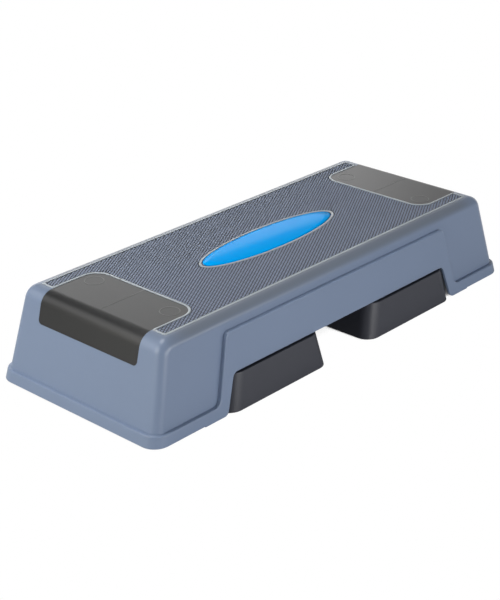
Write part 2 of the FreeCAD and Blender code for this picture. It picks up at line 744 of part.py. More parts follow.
def lock_slide(tag, side, sign):
    """Flat bolt with a finger tab under its tail, drawn back from the stem."""
    x = f"{side} * {LEG_X}"
    low = f"({LEG_TOP_UNDER} - lock_clearance - lock_thickness)"
    bolt = block(f"lock_bolt_{tag}", "lock_width", "lock_length", "lock_thickness", x,
                 f"{sign} * ({LOCK_NOSE} - lock_length / 2)", low)
    tab_tall = "(lock_tab_height + lock_thickness / 2)"
    tab = block(f"lock_tab_{tag}", "lock_width", "lock_tab_length", tab_tall, x,
                f"{sign} * ({LOCK_NOSE} - lock_length + lock_tab_length / 2)", f"{low} - lock_tab_height")
    plain = fuse(f"lock_plain_{tag}", [bolt, tab])
    doc.recompute()
    rounded = doc.addObject("Part::Fillet", f"lock_slide_{tag}")
    rounded.Base = plain
    radius = size("lock_edge_round")
    lowest = plain.Shape.BoundBox.ZMin
    rounded.Edges = [(number, radius, radius) for number, edge in enumerate(plain.Shape.Edges, start=1)
                     if abs(edge.BoundBox.ZMin - lowest) < radius / 10]
    return rounded


def lock_keeper(tag, side, sign):
    """Strap that carries a lock slide under the leg's top plate."""
    x, y = f"{side} * {LEG_X}", f"{sign} * {KEEPER_Y}"
    tall = f"({LOCK_ROOM} + keeper_plate)"
    solid = block(f"keeper_block_{tag}", f"({LOCK_CHANNEL} + 2 * keeper_cheek)", "keeper_width", tall,
                  x, y, KEEPER_LOW)
    channel = block(f"keeper_channel_{tag}", LOCK_CHANNEL, "(keeper_width + 2 * overrun)",
                    f"({LOCK_ROOM} + overrun)", x, y, f"{LEG_TOP_UNDER} - {LOCK_ROOM}")
    holes = [cylinder(f"keeper_hole_{step + 1}_{tag}", "(keeper_screw_diameter + 2 * screw_clearance)",
                      f"{tall} + 2 * overrun", f"{x} + {step} * {KEEPER_SCREW_X}", y,
                      f"{KEEPER_LOW} - overrun")
             for step in (-1, 1)]
    return cut(f"lock_keeper_{tag}", solid, fuse(f"keeper_cuts_{tag}", [channel] + holes))


def keeper_screws(tag, side, sign):
    """The two screws of one strap, kept together as one group."""
    shank = f"({LOCK_ROOM} + keeper_plate + leg_top_plate + keeper_boss_height - 2 * keeper_screw_tip_gap)"
    steps = [("keeper_head_diameter", "keeper_head_height"), ("keeper_screw_diameter", shank)]
    screws = []
    for step in (-1, 1):
        screw = turned(f"keeper_screw_{step + 1}_{tag}", steps)
        place(screw, f"{side} * {LEG_X} + {step} * {KEEPER_SCREW_X}", f"{sign} * {KEEPER_Y}",
              f"{KEEPER_LOW} - keeper_head_height")
        screws.append(screw)
    group = doc.addObject("Part::Compound", f"keeper_screws_{tag}")
    group.Links = screws
    return group


def build():
    """Every sub-part of the platform, by name."""
    outer = wall_form("wall_outer", "0 * wall", "0 * deck_plate")
    pad_core = wall_form("pad_core", "pad_thickness", "pad_thickness")
    skin = cut("pad_skin", outer, pad_core)
    seats = [pad_form(f"pad_seat_{name}", side, "pad_clearance", skin) for name, side in SIDES.items()]
    parts = {"platform_shell": platform(outer, seats), "badge_plate": badge_plate()}
    for side_name, side in SIDES.items():
        parts[f"end_pad_{side_name}"] = end_pad(side_name, side, skin)
        parts[f"leg_{side_name}"] = leg_box(side_name, side)
        for end, sign, corner in leg_foot_places():
            parts[f"leg_foot_{side_name}_{corner}"] = leg_foot(side_name, side, end, sign, corner)
    corner_makers = {"platform_foot": platform_foot, "stop_washer": stop_washer, "stop_screw": stop_screw,
                     "lock_slide": lock_slide, "lock_keeper": lock_keeper, "keeper_screws": keeper_screws}
    for side, sign, tag in each_corner():
        for name, maker in corner_makers.items():
            parts[f"{name}_{tag}"] = maker(tag, side, sign)
    return parts


def write(parts):
    """Checks the document and each sub-part, then writes one file for each."""
    doc.recompute()
    failed = [thing.Name for thing in doc.Objects if "Invalid" in thing.State or "Error" in thing.State]
    if failed:
        raise RuntimeError(f"failed objects: {failed}")
    for label, part in parts.items():
        part.Label = label
        if part.Shape.isNull() or not part.Shape.isValid() or not part.Shape.Solids:
            raise RuntimeError(f"bad shape: {label}")
    os.makedirs("parts", exist_ok=True)
    for label, part in parts.items():
        part.Shape.exportStep(f"parts/{label}.step")
        print(label, len(part.Shape.Solids), "solid", round(part.Shape.Volume), "mm3")


write(build())
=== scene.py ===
import json
import math

import bmesh
import bpy
from mathutils import Matrix, Vector


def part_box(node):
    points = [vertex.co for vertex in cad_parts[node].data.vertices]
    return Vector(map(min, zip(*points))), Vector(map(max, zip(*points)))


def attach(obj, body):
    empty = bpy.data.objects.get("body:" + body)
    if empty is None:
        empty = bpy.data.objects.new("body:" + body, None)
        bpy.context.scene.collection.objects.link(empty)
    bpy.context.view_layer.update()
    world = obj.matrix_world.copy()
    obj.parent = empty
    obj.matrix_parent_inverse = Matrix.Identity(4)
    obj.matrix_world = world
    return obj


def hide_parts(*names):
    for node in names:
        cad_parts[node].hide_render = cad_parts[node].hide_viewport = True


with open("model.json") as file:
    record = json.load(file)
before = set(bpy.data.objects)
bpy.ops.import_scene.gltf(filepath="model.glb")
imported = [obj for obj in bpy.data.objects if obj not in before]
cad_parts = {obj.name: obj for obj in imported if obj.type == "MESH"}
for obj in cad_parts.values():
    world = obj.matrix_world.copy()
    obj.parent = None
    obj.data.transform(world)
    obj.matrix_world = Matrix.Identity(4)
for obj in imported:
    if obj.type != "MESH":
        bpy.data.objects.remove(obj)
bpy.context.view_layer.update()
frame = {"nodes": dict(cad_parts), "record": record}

# Aerobic step platform: moulded body with a diamond tread, rubber end pads, an oval inlay and sliding legs.
# Lengths are in metres, written as millimetres times MM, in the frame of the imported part.

MM = 0.001
DECK = 158.5 * MM

# Painted shade on the upper long edges, where less light falls: how far down it is full and reaches, and
# where it fades towards the ends.
EDGE_SHADE_FULL_DEPTH = 4 * MM
EDGE_SHADE_DEPTH = 16 * MM
EDGE_SHADE_HALF_LENGTH = 330 * MM
EDGE_SHADE_FADE = 85 * MM

# Tread: raised diamonds between grooves that cross at about 30 degrees to the length of the deck.
DIAMOND_LENGTH = 9.488 * MM
DIAMOND_WIDTH = 5.408 * MM
DIAMOND_SHIFT = 2.21 * MM
DIAMOND_SLOPE = 1.45 * MM
DIAMOND_RISE = 0.75 * MM
# Heights of the tread's colour: painted shade in the grooves below the first, painted light on the diamond
# tops above the second.
GROOVE_PAINTED_SHADE_RISE = 0.3 * DIAMOND_RISE
DIAMOND_PAINTED_LIGHT_RISE = 0.65 * DIAMOND_RISE
DIAMOND_ROWS = 132
TREAD_HALF_LENGTH = 377.1 * MM
TREAD_HALF_WIDTH = 139.2 * MM
TREAD_CORNER = 3 * MM
TREAD_PAD_GAP = 0.3 * MM

# Raised lines that frame the tread and the inlay.
LINE_WIDTH = 4 * MM
LINE_RISE = 0.9 * MM
LINE_ROUNDING = 0.8 * MM

# Rubber pads as the body's seats hold them, and the marks moulded on them.
PAD_START = 285 * MM
PAD_HALF_WIDTH = 111 * MM
PAD_CORNER = 27 * MM
PAD_FLAT_END = 379 * MM
PAD_MARK_X = 314 * MM
PAD_MARK_Y = 85 * MM
PAD_MARK_RADIUS = 16.5 * MM
PAD_MARK_WIDTH = 1.6 * MM
FLOW_LINE_WIDTH = 1.4 * MM
MARK_RISE = 0.2 * MM
MARK_ROUNDING = 0.15 * MM

# Oval inlay; the line round it reaches further out by the two line reaches.
OVAL_STEPS = 96
INLAY_FORWARD = 4 * MM
INLAY_HALF_LENGTH = 155.2 * MM
INLAY_HALF_WIDTH = 38.2 * MM
INLAY_SEAT = 2 * MM
INLAY_EDGE = 0.6 * MM
INLAY_CROWN = 1.4 * MM
INLAY_ROUNDING = 0.4 * MM
INLAY_LINE_REACH_X = 7.3 * MM
INLAY_LINE_REACH_Y = 5.1 * MM
INLAY_PEG_X = 90 * MM
INLAY_PEG_RADIUS = 3 * MM
# Rings of the crown from the edge inwards, as shares of its radius. A narrow first one keeps the edge clean.
INLAY_RINGS = (0.02, *[0.11] * 8)

# Backdrop: its direction from the object, the heights and directions over which it fades, and the dim room.
BACKDROP_TOWARDS = (0.733, 0.68, 0)
BACKDROP_FADE_UP = (0.36, 0.48)
BACKDROP_FADE_IN = (0.4, 0.85)
ROOM_LIGHT = 0.13

# Floor: how far a spot looks up for the object, and the share of open sky from which it is black and white.
FLOOR_RADIUS = 4.0
FLOOR_GREY = "#bcbcbc"
SHADE_REACH = 300 * MM
SHADE_BLACK = 0.02
SHADE_WHITE = 0.06
# Under the body, beside the legs, a spot needs more open sky to be white. That zone fades at its borders.
BESIDE_LEG_X = 300 * MM
BESIDE_LEG_FADE = (90 * MM, 120 * MM)
BESIDE_LEG_FADE_Y = (158 * MM, 170 * MM)
BESIDE_LEG_WHITE = 0.4
# Reflections see the floor grey in front of the object and white behind it.
MIRROR_FADE = (100 * MM, 600 * MM)
MIRROR_FRONT = 0.12

# Soft boxes: name, place, width and depth, watts, colour. All of them face one spot on the object.
WARM = (1.0, 0.98, 0.92)
WHITE = (1.0, 1.0, 1.0)
LAMP_TARGET = (-0.2, 0, 0.1)
LAMPS = (
    ("key", (-2.15, 0.3, 1.1), (1.5, 1.4), 20, WARM),
    ("key_low", (-2.2, 0.5, 0.6), (1.5, 1.0), 9, WARM),
    ("key_rear", (-1.4, 1.25, 1.3), (1.4, 1.0), 6.5, WHITE),
    ("fill", (-0.2, -1.5, 0.22), (0.9, 0.4), 7.7, WHITE),
    ("fill_far", (1.1, -2.4, 0.3), (1.2, 0.5), 9.5, WHITE),
    ("overhead", (-0.3, 0.35, 1.75), (0.7, 0.5), 12, WHITE),
    ("backdrop", (2.15, 3.25, 1.42), (3.2, 0.75), 18.5, WHITE),
    ("under", (-0.3, -0.6, -1.6), (1.6, 1.0), 12, WHITE),
)

# Camera at the photograph's viewing angle: place, turn in degrees and lens in millimetres.
CAMERA_PLACE = (-1.7357, -1.5679, 1.1288)
CAMERA_AZIMUTH = -47.18
CAMERA_ELEVATION = 24.92
CAMERA_ROLL = -0.51
CAMERA_LENS = 90.08
CAMERA_SENSOR = 36

# How much the grain of a mould changes the roughness, either way.
GRAIN_GLOSS = 0.06

# Places of the factor, the two colours and the result on a Mix node that mixes colours.
MIX_SHARE = 0
MIX_A = 6
MIX_B = 7
MIX_RESULT = 2


def linear(colour):
    """Linear red, green, blue and alpha of an sRGB hex colour."""
    parts = [int(colour[place:place + 2], 16) / 255 for place in (1, 3, 5)]
    return [part / 12.92 if part <= 0.04045 else ((part + 0.055) / 1.055) ** 2.4 for part in parts] + [1.0]


def add(tree, kind, links=None, **settings):
    """Adds a node to a tree; links gives each input a value or another node's output."""
    made = tree.nodes.new(kind)
    for name, value in settings.items():
        setattr(made, name, value)
    for place, value in (links or {}).items():
        if isinstance(value, bpy.types.NodeSocket):
            tree.links.new(value, made.inputs[place])
        else:
            made.inputs[place].default_value = value
    return made


def new_material(name):
    """Material with an empty node tree, and that tree."""
    made = bpy.data.materials.new(name)
    made.use_nodes = True
    made.node_tree.nodes.clear()
    return made, made.node_tree


def moulded(name, low, high, roughness, grain_size, grain_depth, mottle_size, painted_edge_shade=None, **surface):
    """Moulded plastic or rubber: two close shades in a slow mottle, with the fine grain of an eroded mould.

    Real grain is about 0.1 mm wide, too fine to show, so it is drawn coarser.
    An edge shade colour is painted shade on the upper edge along the long sides, where less light falls.
    """
    made, tree = new_material(name)
    place = add(tree, "ShaderNodeTexCoord").outputs["Object"]
    mottle = add(tree, "ShaderNodeTexNoise", {"Vector": place, "Scale": 1 / mottle_size, "Detail": 4.0})
    shade = add(tree, "ShaderNodeMix", {
        MIX_SHARE: mottle.outputs["Fac"], MIX_A: linear(low), MIX_B: linear(high)}, data_type="RGBA")
    # Painted shade: the upper long edges darken towards the top and fade out towards the ends.
    if painted_edge_shade:
        split = add(tree, "ShaderNodeSeparateXYZ", {"Vector": place})
        height = add(tree, "ShaderNodeMapRange", {
            "Value": split.outputs["Z"],
            "From Min": DECK - EDGE_SHADE_DEPTH, "From Max": DECK - EDGE_SHADE_FULL_DEPTH},
            interpolation_type="SMOOTHSTEP")
        along = add(tree, "ShaderNodeMath", {0: split.outputs["X"]}, operation="ABSOLUTE")
        middle = add(tree, "ShaderNodeMapRange", {
            "Value": along.outputs[0],
            "From Min": EDGE_SHADE_HALF_LENGTH, "From Max": EDGE_SHADE_HALF_LENGTH + EDGE_SHADE_FADE,
            "To Min": 1.0, "To Max": 0.0}, interpolation_type="SMOOTHSTEP")
        edge_shade_share = add(tree, "ShaderNodeMath", {0: height.outputs[0], 1: middle.outputs[0]},
                   operation="MULTIPLY")
        shade = add(tree, "ShaderNodeMix", {
            MIX_SHARE: edge_shade_share.outputs[0], MIX_A: shade.outputs[MIX_RESULT], MIX_B: linear(painted_edge_shade)},
            data_type="RGBA")
    grain = add(tree, "ShaderNodeTexNoise", {"Vector": place, "Scale": 1 / grain_size, "Detail": 2.0})
    gloss = add(tree, "ShaderNodeMapRange", {
        "Value": grain.outputs["Fac"], "To Min": roughness - GRAIN_GLOSS, "To Max": roughness + GRAIN_GLOSS})
    relief = add(tree, "ShaderNodeBump", {
        "Height": grain.outputs["Fac"], "Strength": 0.35, "Distance": grain_depth})
    shader = add(tree, "ShaderNodeBsdfPrincipled", {
        "Base Color": shade.outputs[MIX_RESULT], "Roughness": gloss.outputs[0], "Normal": relief.outputs[0],
        **surface})
    add(tree, "ShaderNodeOutputMaterial", {"Surface": shader.outputs[0]})
    return made


def tread_material():
    """Same polypropylene as the body, coloured by height: near-black painted shade in the grooves, paler
    painted light on the diamond tops.
    """
    made, tree = new_material("moulded_polypropylene_tread")
    place = add(tree, "ShaderNodeTexCoord").outputs["Object"]
    height = add(tree, "ShaderNodeSeparateXYZ", {"Vector": place}).outputs["Z"]
    rise = add(tree, "ShaderNodeMapRange", {
        "Value": height, "From Min": DECK + GROOVE_PAINTED_SHADE_RISE, "From Max": DECK + DIAMOND_PAINTED_LIGHT_RISE},
        interpolation_type="SMOOTHSTEP")
    mottle = add(tree, "ShaderNodeTexNoise", {"Vector": place, "Scale": 1 / (30 * MM), "Detail": 5.0})
    top = add(tree, "ShaderNodeMix", {
        MIX_SHARE: mottle.outputs["Fac"], MIX_A: linear("#8592ab"), MIX_B: linear("#939fb7")},
        data_type="RGBA")
    # Painted shade: the grooves go near black, and the tops take the paler painted light.
    shade = add(tree, "ShaderNodeMix", {
        MIX_SHARE: rise.outputs[0], MIX_A: linear("#0c0d11"), MIX_B: top.outputs[MIX_RESULT]},
        data_type="RGBA")
    shader = add(tree, "ShaderNodeBsdfPrincipled", {
        "Base Color": shade.outputs[MIX_RESULT], "Roughness": 0.5, "IOR": 1.49})
    add(tree, "ShaderNodeOutputMaterial", {"Surface": shader.outputs[0]})
    return made


def inlay_material():
    """Blue lacquered ABS with a polished face: clear deep colour, soft reflections, a slight ripple."""
    made, tree = new_material("lacquered_abs_blue")
    place = add(tree, "ShaderNodeTexCoord").outputs["Object"]
    ripple = add(tree, "ShaderNodeTexNoise", {"Vector": place, "Scale": 1 / (40 * MM), "Detail": 1.0})
    relief = add(tree, "ShaderNodeBump", {
        "Height": ripple.outputs["Fac"], "Strength": 0.15, "Distance": 0.3 * MM})
    shade = add(tree, "ShaderNodeMix", {
        MIX_SHARE: ripple.outputs["Fac"], MIX_A: linear("#00a4ff"), MIX_B: linear("#00aeff")},
        data_type="RGBA")
    shader = add(tree, "ShaderNodeBsdfPrincipled", {
        "Base Color": shade.outputs[MIX_RESULT], "Roughness": 0.1, "IOR": 1.46, "Specular IOR Level": 0.02,
        "Normal": relief.outputs[0]})
    add(tree, "ShaderNodeOutputMaterial", {"Surface": shader.outputs[0]})
    return made


def steel_material():
    """Zinc plated steel: pale grey metal with turning marks, drawn coarser than real ones to show."""
    made, tree = new_material("zinc_plated_steel")
    place = add(tree, "ShaderNodeTexCoord").outputs["Object"]
    marks = add(tree, "ShaderNodeTexNoise", {"Vector": place, "Scale": 1 / (0.8 * MM), "Detail": 3.0})
    gloss = add(tree, "ShaderNodeMapRange", {"Value": marks.outputs["Fac"], "To Min": 0.28, "To Max": 0.45})
    shade = add(tree, "ShaderNodeMix", {
        MIX_SHARE: marks.outputs["Fac"], MIX_A: linear("#b9bcbd"), MIX_B: linear("#d2d4d2")},
        data_type="RGBA")
    shader = add(tree, "ShaderNodeBsdfPrincipled", {
        "Base Color": shade.outputs[MIX_RESULT], "Metallic": 1.0, "Roughness": gloss.outputs[0]})
    add(tree, "ShaderNodeOutputMaterial", {"Surface": shader.outputs[0]})
    return made


finishes = {
    # Injection moulded polypropylene, blue grey, satin from a fine spark-eroded mould; painted shade on the
    # upper long edges.
    "shell_plastic": moulded(
        "moulded_polypropylene_slate", "#7a8aa5", "#7e8ea9", roughness=0.32, grain_size=0.9 * MM,
        grain_depth=0.05 * MM, mottle_size=120 * MM, painted_edge_shade="#737c8a", IOR=1.49),
    # Moulded lines, the same polypropylene: their paler, smoother face is a painted highlight along the
    # raised lines.
    "line": moulded(
        "moulded_polypropylene_painted_highlight", "#a6afb8", "#b0b8bf", roughness=0.35, grain_size=0.9 * MM,
        grain_depth=0.02 * MM, mottle_size=60 * MM, IOR=1.49),
    "tread": tread_material(),
    # Thermoplastic rubber, near black and satin, which mirrors a bright room at a low angle.
    "pad_soft": moulded(
        "thermoplastic_rubber_satin", "#101112", "#141516", roughness=0.37, grain_size=0.6 * MM,
        grain_depth=0.05 * MM, mottle_size=25 * MM, IOR=1.62),
    # The same rubber on the raised marks, drawn paler: a painted highlight along them.
    "mark": moulded(
        "thermoplastic_rubber_witness", "#464847", "#4c4e4d", roughness=0.37, grain_size=0.6 * MM,
        grain_depth=0.05 * MM, mottle_size=25 * MM, IOR=1.62),
    "badge_gloss": inlay_material(),
    # Polypropylene, charcoal, same fine grain as the body.
    "leg_plastic": moulded(
        "moulded_polypropylene_charcoal", "#373942", "#3c3e47", roughness=0.42, grain_size=0.9 * MM,
        grain_depth=0.05 * MM, mottle_size=80 * MM, IOR=1.49),
    # Soft rubber feet, matt black.
    "foot_rubber": moulded(
        "natural_rubber_black", "#1b1b1c", "#222223", roughness=0.75, grain_size=0.7 * MM,
        grain_depth=0.06 * MM, mottle_size=12 * MM, IOR=1.52),
    "zinc_steel": steel_material(),
    # Glass filled nylon, dark grey with a dull face.
    "lock_plastic": moulded(
        "glass_filled_nylon_grey", "#3d4045", "#484b50", roughness=0.55, grain_size=0.5 * MM,
        grain_depth=0.06 * MM, mottle_size=15 * MM, IOR=1.53),
}


def dress_nodes():
    """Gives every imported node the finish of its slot."""
    for part in frame["record"]["subparts"]:
        mesh = frame["nodes"][part["node"]].data
        mesh.materials.clear()
        mesh.materials.append(finishes[part["material_slot"]])


def piece(name, bm, finish, smooth=True):
    """Makes a finished piece of a bmesh and lets it ride on the body of the step."""
    mesh = bpy.data.meshes.new(name)
    for face in bm.faces:
        face.smooth = smooth
    bm.to_mesh(mesh)
    bm.free()
    mesh.materials.append(finishes[finish])
    made = bpy.data.objects.new(name, mesh)
    bpy.context.scene.collection.objects.link(made)
    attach(made, "platform")
    return made


def oval_face(bm, half_length, half_width):
    """Oval face on the deck, round the middle of the inlay."""
    ring = bmesh.ops.create_circle(bm, cap_ends=True, segments=OVAL_STEPS, radius=1.0)
    place = Matrix.Translation((0, -INLAY_FORWARD, DECK)) @ Matrix.Diagonal((half_length, half_width, 1, 1))
    bmesh.ops.transform(bm, matrix=place, verts=ring["verts"])
    return ring["verts"][0].link_faces[0]


def tread_face(bm):
    """Face of the whole tread: a rectangle with a bite round each end pad."""
    bite_x = PAD_START - TREAD_PAD_GAP
    bite_y = PAD_HALF_WIDTH + TREAD_PAD_GAP
    right = [(TREAD_HALF_LENGTH, -TREAD_HALF_WIDTH), (TREAD_HALF_LENGTH, -bite_y), (bite_x, -bite_y),
             (bite_x, bite_y), (TREAD_HALF_LENGTH, bite_y), (TREAD_HALF_LENGTH, TREAD_HALF_WIDTH)]
    corners = right + [(-x, -y) for x, y in right]
    verts = [bm.verts.new((x, y, DECK)) for x, y in corners]
    bm.faces.new(verts)
    bites = [vert for vert in verts if abs(vert.co.x) < PAD_START]
    tips = [vert for vert in verts if abs(vert.co.x) > PAD_START]
    for group, radius, steps in ((bites, PAD_CORNER + TREAD_PAD_GAP, 8), (tips, TREAD_CORNER, 3)):
        bmesh.ops.bevel(bm, geom=group, offset=radius, offset_type="OFFSET", segments=steps, profile=0.5,
                        affect="VERTICES", material=-1)
    return next(iter(bm.faces))


def raise_faces(bm, rise, rounding):
    """Raises all faces of a flat bmesh off the deck and rounds their upper edges."""
    raised = bmesh.ops.extrude_face_region(bm, geom=bm.faces[:])["geom"]
    tops = [item for item in raised if isinstance(item, bmesh.types.BMVert)]
    bmesh.ops.translate(bm, vec=(0, 0, rise), verts=tops)
    bmesh.ops.recalc_face_normals(bm, faces=bm.faces[:])
    shoulders = [edge for edge in bm.edges if all(vert.co.z > DECK + rise / 2 for vert in edge.verts)
                 and any(abs(face.normal.z) < 0.5 for face in edge.link_faces)]
    bmesh.ops.bevel(bm, geom=shoulders, offset=rounding, offset_type="OFFSET", segments=3, profile=0.5,
                    affect="EDGES", material=-1)


def raise_line(bm, face, width, rise, rounding):
    """Turns the margin of a face into a raised line with rounded shoulders; gives the loop inside it."""
    bmesh.ops.inset_region(bm, faces=[face], thickness=width, use_even_offset=True, use_boundary=True)
    inside = [vert.co.copy() for vert in face.verts]
    bmesh.ops.delete(bm, geom=[face], context="FACES_ONLY")
    raise_faces(bm, rise, rounding)
    return inside


def cut_along(bm, start, end, reach):
    """Cuts the faces near a line on the deck with the upright plane through it."""
    along = end - start
    length = along.length
    along = along / length
    across = Vector((-along.y, along.x, 0))
    near = []
    for face in bm.faces:
        offset = face.calc_center_median() - start
        if abs(offset.dot(across)) < reach and -reach < offset.dot(along) < length + reach:
            near.append(face)
    edges = {edge for face in near for edge in face.edges}
    verts = {vert for face in near for vert in face.verts}
    bmesh.ops.bisect_plane(bm, geom=[*verts, *edges, *near], dist=MM / 1000, plane_co=start,
                           plane_no=across)


def inside_loop(spot, loop):
    """True if a point of the deck lies inside a closed loop."""
    crossings = 0
    for first, second in zip(loop, loop[1:] + loop[:1]):
        if (first.y > spot.y) != (second.y > spot.y):
            share = (spot.y - first.y) / (second.y - first.y)
            crossings += first.x + share * (second.x - first.x) > spot.x
    return crossings % 2 == 1


def tread(outer_loop, inner_loop):
    """Field of raised diamonds between the outer line and the line round the inlay."""
    bm = bmesh.new()
    # The square cells of the grid measure one from corner to corner, and are then turned and stretched.
    bmesh.ops.create_grid(bm, x_segments=DIAMOND_ROWS, y_segments=DIAMOND_ROWS,
                          size=DIAMOND_ROWS / 2 ** 1.5)
    shape = (Matrix.Translation((DIAMOND_SHIFT - DIAMOND_LENGTH / 2, 0, DECK))
             @ Matrix.Diagonal((DIAMOND_LENGTH, DIAMOND_WIDTH, 1, 1))
             @ Matrix.Rotation(math.pi / 4, 4, "Z"))
    bmesh.ops.transform(bm, matrix=shape, verts=bm.verts[:])
    limit_x = TREAD_HALF_LENGTH + DIAMOND_LENGTH
    limit_y = TREAD_HALF_WIDTH + DIAMOND_WIDTH
    far = []
    for face in bm.faces:
        centre = face.calc_center_median()
        if abs(centre.x) > limit_x or abs(centre.y) > limit_y:
            far.append(face)
    bmesh.ops.delete(bm, geom=far, context="FACES")
    for loop in (outer_loop, inner_loop):
        for start, end in zip(loop, loop[1:] + loop[:1]):
            cut_along(bm, start, end, DIAMOND_LENGTH / 2)
    waste = []
    for face in bm.faces:
        centre = face.calc_center_median()
        if not inside_loop(centre, outer_loop) or inside_loop(centre, inner_loop):
            waste.append(face)
    bmesh.ops.delete(bm, geom=waste, context="FACES")
    # Cut diamonds smaller than a quarter of a whole one stay flat.
    tall = [face for face in bm.faces if face.calc_area() > DIAMOND_LENGTH * DIAMOND_WIDTH / 8]
    bmesh.ops.inset_individual(bm, faces=tall, thickness=DIAMOND_SLOPE, depth=DIAMOND_RISE,
                               use_even_offset=True)
    return bm


def inlay():
    """Crowned oval plate with a rounded edge, on two pegs."""
    bm = bmesh.new()
    bmesh.ops.create_circle(bm, cap_ends=True, segments=OVAL_STEPS, radius=1.0)
    cap = next(iter(bm.faces))
    rim = cap.edges[:]
    for step in INLAY_RINGS:
        bmesh.ops.inset_region(bm, faces=[cap], thickness=step, use_even_offset=True, use_boundary=True)
    for vert in bm.verts:
        vert.co.z = INLAY_CROWN * (1 - vert.co.xy.length_squared)
    place = (Matrix.Translation((0, -INLAY_FORWARD, DECK + INLAY_EDGE))
             @ Matrix.Diagonal((INLAY_HALF_LENGTH, INLAY_HALF_WIDTH, 1, 1)))
    bmesh.ops.transform(bm, matrix=place, verts=bm.verts[:])
    walls = bmesh.ops.extrude_edge_only(bm, edges=rim)["geom"]
    feet = [item for item in walls if isinstance(item, bmesh.types.BMVert)]
    bmesh.ops.translate(bm, vec=(0, 0, -INLAY_EDGE - INLAY_SEAT), verts=feet)
    bmesh.ops.holes_fill(bm, edges=[edge for edge in bm.edges if edge.is_boundary], sides=0)
    bmesh.ops.recalc_face_normals(bm, faces=bm.faces[:])
    bmesh.ops.bevel(bm, geom=rim, offset=INLAY_ROUNDING, offset_type="OFFSET", segments=4, profile=0.5,
                    affect="EDGES", material=-1)
    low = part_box("badge_plate")[0][2]
    high = DECK - INLAY_SEAT / 2
    for side in (-1, 1):
        place = Matrix.Translation((side * INLAY_PEG_X, -INLAY_FORWARD, (low + high) / 2))
        bmesh.ops.create_cone(bm, cap_ends=True, segments=32, radius1=INLAY_PEG_RADIUS,
                              radius2=INLAY_PEG_RADIUS, depth=high - low, matrix=place)
    return bm


def pad_marks():
    """Round witness marks of the pegs and the flow line across each pad."""
    length = PAD_FLAT_END - PAD_START
    for side, name in ((-1, "left"), (1, "right")):
        for row, end in ((-1, "front"), (1, "rear")):
            bm = bmesh.new()
            place = Matrix.Translation((side * PAD_MARK_X, row * PAD_MARK_Y, DECK))
            bmesh.ops.create_circle(bm, cap_ends=True, segments=48, radius=PAD_MARK_RADIUS, matrix=place)
            raise_line(bm, next(iter(bm.faces)), PAD_MARK_WIDTH, MARK_RISE, MARK_ROUNDING)
            piece(f"pad_mark_{name}_{end}", bm, "mark")
        bm = bmesh.new()
        place = (Matrix.Translation((side * (PAD_START + length / 2), 0, DECK))
                 @ Matrix.Diagonal((length, FLOW_LINE_WIDTH, 1, 1)))
        bmesh.ops.create_grid(bm, x_segments=1, y_segments=1, size=0.5, matrix=place)
        raise_faces(bm, MARK_RISE, MARK_ROUNDING)
        piece(f"pad_flow_line_{name}", bm, "mark")


def deck_details():
    """Raised lines, tread and inlay."""
    bm = bmesh.new()
    tread_loop = raise_line(bm, tread_face(bm), LINE_WIDTH, LINE_RISE, LINE_ROUNDING)
    piece("tread_line", bm, "line")
    bm = bmesh.new()
    outer = oval_face(bm, INLAY_HALF_LENGTH + INLAY_LINE_REACH_X, INLAY_HALF_WIDTH + INLAY_LINE_REACH_Y)
    oval_loop = [vert.co.copy() for vert in outer.verts]
    raise_line(bm, outer, LINE_WIDTH, LINE_RISE, LINE_ROUNDING)
    piece("inlay_line", bm, "line")
    piece("tread_diamonds", tread(tread_loop, oval_loop), "tread", smooth=False)
    plate = piece("inlay_plate", inlay(), "badge_gloss")
    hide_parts("badge_plate")
    # The underside of the plate and the ends of its pegs are flat.
    for face in plate.data.polygons:
        if len(face.vertices) > 8 and face.normal.z < 0.5:
            face.use_smooth = False


def studio_world():
    """Soft even light: the eye sees white all round, reflections a white backdrop low behind the object."""
    made = bpy.data.worlds.new("studio")
    made.use_nodes = True
    tree = made.node_tree
    tree.nodes.clear()
    toward = add(tree, "ShaderNodeTexCoord").outputs["Generated"]
    height = add(tree, "ShaderNodeSeparateXYZ", {"Vector": toward}).outputs["Z"]
    low = add(tree, "ShaderNodeMapRange", {
        "Value": height, "From Min": BACKDROP_FADE_UP[0], "From Max": BACKDROP_FADE_UP[1],
        "To Min": 1.0, "To Max": 0.0}, interpolation_type="SMOOTHSTEP")
    away = add(tree, "ShaderNodeVectorMath", {0: toward, 1: BACKDROP_TOWARDS}, operation="DOT_PRODUCT")
    behind = add(tree, "ShaderNodeMapRange", {
        "Value": away.outputs["Value"], "From Min": BACKDROP_FADE_IN[0], "From Max": BACKDROP_FADE_IN[1]},
        interpolation_type="SMOOTHSTEP")
    backdrop = add(tree, "ShaderNodeMath", {0: low.outputs[0], 1: behind.outputs[0]}, operation="MULTIPLY")
    rays = add(tree, "ShaderNodeLightPath")
    mirrored = add(tree, "ShaderNodeMath", {0: backdrop.outputs[0], 1: rays.outputs["Is Glossy Ray"]},
                   operation="MULTIPLY")
    direct = add(tree, "ShaderNodeMath", {
        0: rays.outputs["Is Camera Ray"], 1: rays.outputs["Is Transmission Ray"]}, operation="MAXIMUM")
    seen = add(tree, "ShaderNodeMath", {0: direct.outputs[0], 1: mirrored.outputs[0]}, operation="MAXIMUM")
    strength = add(tree, "ShaderNodeMapRange", {
        "Value": seen.outputs[0], "To Min": ROOM_LIGHT, "To Max": 1.0})
    sky = add(tree, "ShaderNodeBackground", {"Color": (1, 1, 1, 1), "Strength": strength.outputs[0]})
    add(tree, "ShaderNodeOutputWorld", {"Surface": sky.outputs[0]})
    return made


